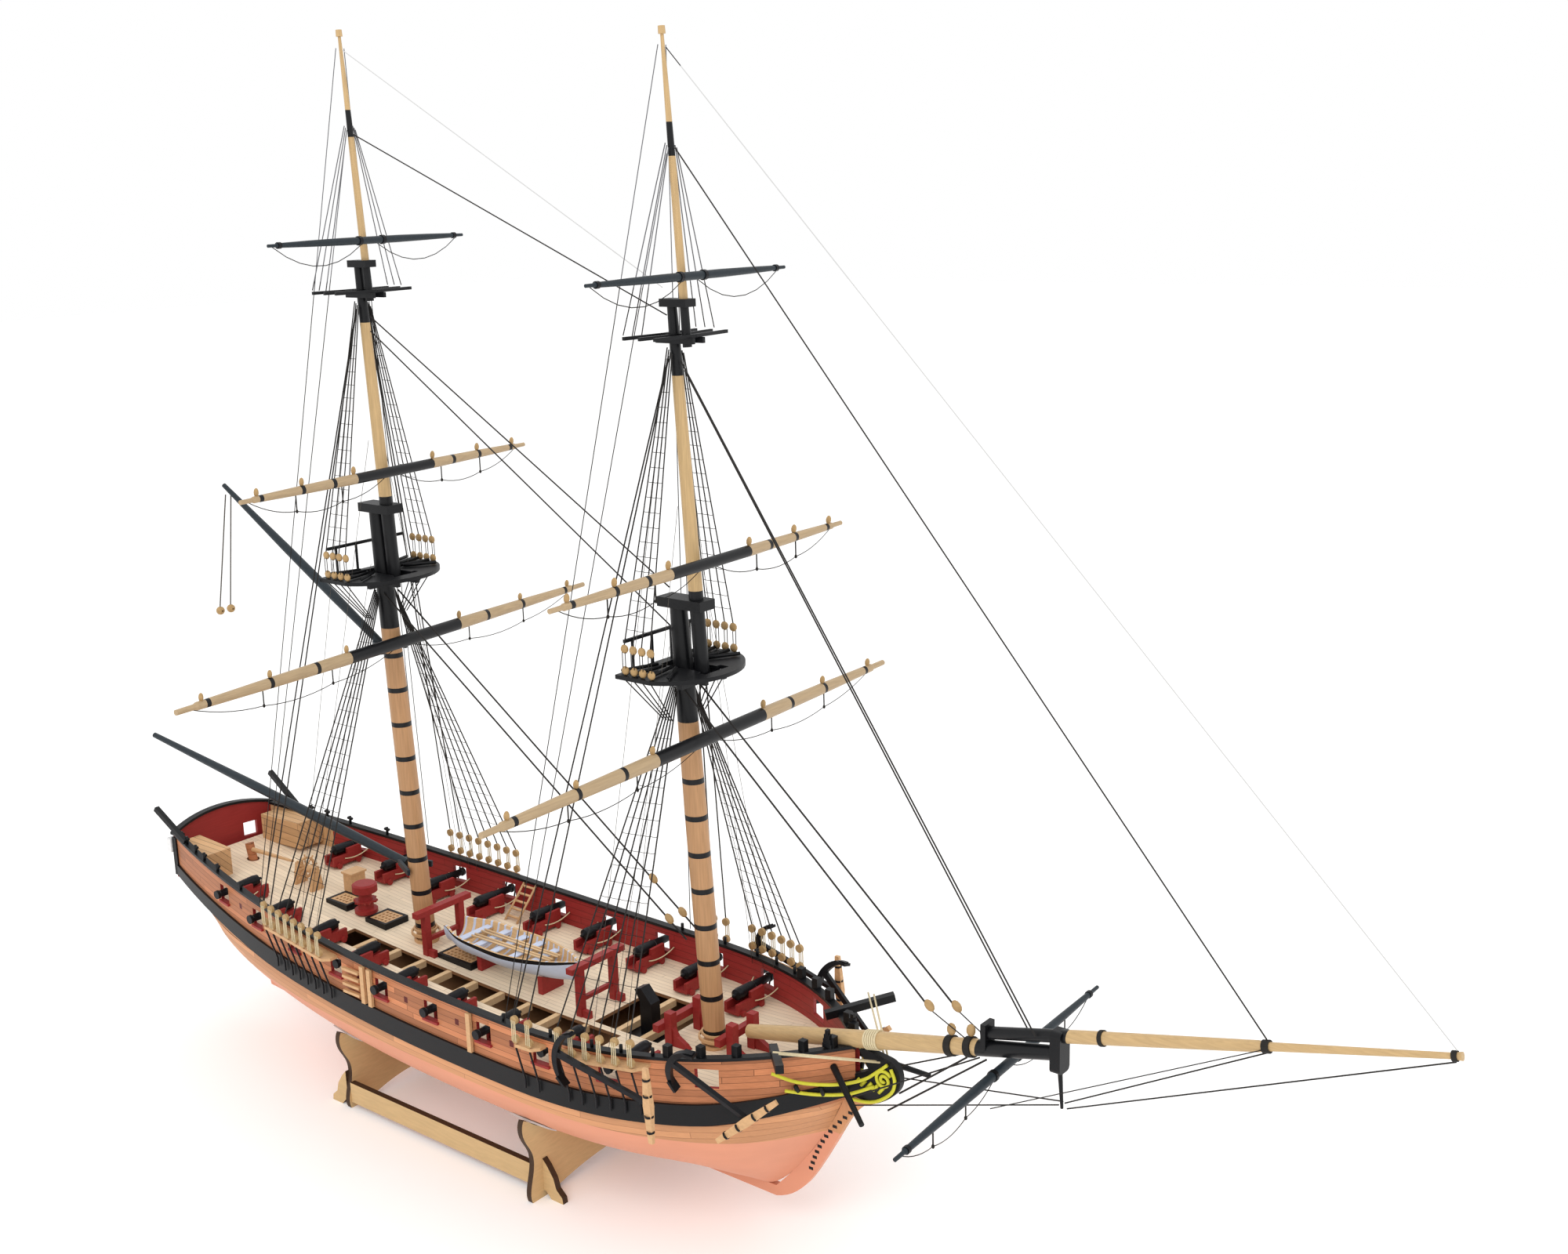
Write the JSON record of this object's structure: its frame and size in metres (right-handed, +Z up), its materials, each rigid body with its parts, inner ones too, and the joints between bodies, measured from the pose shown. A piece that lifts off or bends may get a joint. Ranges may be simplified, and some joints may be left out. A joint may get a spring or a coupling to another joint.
{
  "type": "display model sailing brig",
  "caption": "Wooden display model of a two-masted square-rigged brig with guns, deck fittings and bare spars, on a slotted plywood cradle",
  "frame": {"origin": "on the floor under the middle of the model", "axes": "+X toward the bow, +Y to port, +Z up"},
  "size_m": [0.7373, 0.272, 0.5161],
  "materials": {
    "planking": "oiled pear planking, warm orange brown",
    "bottom_paint": "satin salmon copper paint below the water line",
    "black_timber": "black painted timber, satin",
    "red_timber": "dark red painted timber, matt",
    "natural_timber": "natural light timber, satin varnish",
    "deck_timber": "pale holly planks with dark caulking lines",
    "spar_timber": "stained natural spar timber, satin",
    "dark_spar": "blue grey painted spar, satin",
    "gun_metal": "black painted barrel, satin",
    "black_iron": "blackened iron",
    "boat_paint": "pale blue white painted boat",
    "black_line": "dark brown tarred line",
    "tan_line": "tan laid line",
    "yellow_paint": "yellow painted head rails, satin",
    "plywood": "laser cut pale plywood, charred edges",
    "felt": "grey white felt pad"
  },
  "bodies": {
    "stand": {"cradle_aft": "plywood", "cradle_fore": "plywood", "stand_planks": "plywood", "cradle_pads": "felt"},
    "hull": {"hull_planking": "planking", "hull_frames": "natural_timber", "keel_and_stem": "natural_timber", "wales": "black_timber", "bulwark_port": "planking", "bulwark_starboard": "planking", "transom": "black_timber", "rail_cap": "black_timber", "deck": "deck_timber", "deck_beams": "natural_timber", "hatch_coamings": "black_timber", "gratings": "natural_timber", "stove_chimney": "black_iron", "gallows_and_bitts": "red_timber", "binnacle": "natural_timber", "stern_lockers": "natural_timber", "wheel_stand": "natural_timber", "gun_barrels": "gun_metal", "gun_carriages": "red_timber", "deadeyes": "tan_line", "chainplates": "black_iron", "channels_and_steps": "natural_timber", "head_rails": "yellow_paint", "bow_timbers": "black_timber", "anchors": "black_iron", "anchor_stocks": "natural_timber", "quarter_davits": "black_timber", "boat_chocks": "red_timber", "main_lower_mast": "spar_timber", "fore_lower_mast": "spar_timber", "main_topmast": "spar_timber", "fore_topmast": "spar_timber", "mast_tops": "black_timber", "caps_and_crosstrees": "black_timber", "bowsprit": "spar_timber", "jibboom": "spar_timber", "spritsail_yard": "dark_spar", "main_shrouds": "black_line", "fore_shrouds": "black_line", "stays": "black_line"},
    "rudder": {"rudder": "planking", "tiller": "natural_timber"},
    "wheel": {"steering_wheel": "natural_timber"},
    "capstan": {"capstan": "red_timber"},
    "boat": {"ships_boat": "boat_paint"},
    "main_yard": {"main_yard": "spar_timber"},
    "main_topsail_yard": {"main_topsail_yard": "spar_timber"},
    "main_topgallant_yard": {"main_topgallant_yard": "dark_spar"},
    "fore_yard": {"fore_yard": "spar_timber"},
    "fore_topsail_yard": {"fore_topsail_yard": "spar_timber"},
    "fore_topgallant_yard": {"fore_topgallant_yard": "dark_spar"},
    "boom": {"boom": "dark_spar"},
    "gaff": {"gaff": "dark_spar", "vang_pendant_port": "black_line", "vang_pendant_starboard": "black_line", "vang_blocks": "natural_timber"}
  },
  "joints": [
    {"name": "hull_lift", "type": "slide", "parent": "stand", "child": "hull", "axis": [0, 0, 1], "range_m": [0, 0.03]},
    {"name": "rudder_turn", "type": "hinge", "parent": "hull", "child": "rudder", "pos_m": [-0.2647, 0, 0.014], "axis": [-0.251, 0, 0.968], "range_deg": [-30, 30]},
    {"name": "wheel_spin", "type": "hinge", "parent": "hull", "child": "wheel", "pos_m": [-0.2365, 0, 0.09323], "axis": [1, 0, 0], "range_deg": [-240, 240]},
    {"name": "capstan_spin", "type": "hinge", "parent": "hull", "child": "capstan", "pos_m": [-0.1875, 0, 0.07909], "axis": [0, 0, 1], "continuous": true},
    {"name": "boat_lift", "type": "slide", "parent": "hull", "child": "boat", "axis": [0, 0, 1], "range_m": [0, 0.05]},
    {"name": "main_yard_brace", "type": "hinge", "parent": "hull", "child": "main_yard", "pos_m": [-0.14955, 0, 0.2326], "axis": [0, 0, 1], "range_deg": [-12, 12]},
    {"name": "main_topsail_yard_brace", "type": "hinge", "parent": "hull", "child": "main_topsail_yard", "pos_m": [-0.14647, 0, 0.3157], "axis": [0, 0, 1], "range_deg": [-12, 12]},
    {"name": "main_topgallant_yard_brace", "type": "hinge", "parent": "hull", "child": "main_topgallant_yard", "pos_m": [-0.14719, 0, 0.4228], "axis": [0, 0, 1], "range_deg": [-10, 10]},
    {"name": "fore_yard_brace", "type": "hinge", "parent": "hull", "child": "fore_yard", "pos_m": [0.04242, 0, 0.2178], "axis": [0, 0, 1], "range_deg": [-12, 12]},
    {"name": "fore_topsail_yard_brace", "type": "hinge", "parent": "hull", "child": "fore_topsail_yard", "pos_m": [0.04841, 0, 0.2931], "axis": [0, 0, 1], "range_deg": [-12, 12]},
    {"name": "fore_topgallant_yard_brace", "type": "hinge", "parent": "hull", "child": "fore_topgallant_yard", "pos_m": [0.04827, 0, 0.4087], "axis": [0, 0, 1], "range_deg": [-10, 10]},
    {"name": "boom_swing", "type": "hinge", "parent": "hull", "child": "boom", "pos_m": [-0.14272, 0, 0.115], "axis": [0, 0, 1], "range_deg": [-30, 30]},
    {"name": "gaff_swing", "type": "hinge", "parent": "hull", "child": "gaff", "pos_m": [-0.14934, 0, 0.229], "axis": [0, 0, 1], "range_deg": [-20, 20]}
  ],
  "couplings": [
    {"joint": "wheel_spin", "follows": "rudder_turn", "ratio": 8}
  ]
}
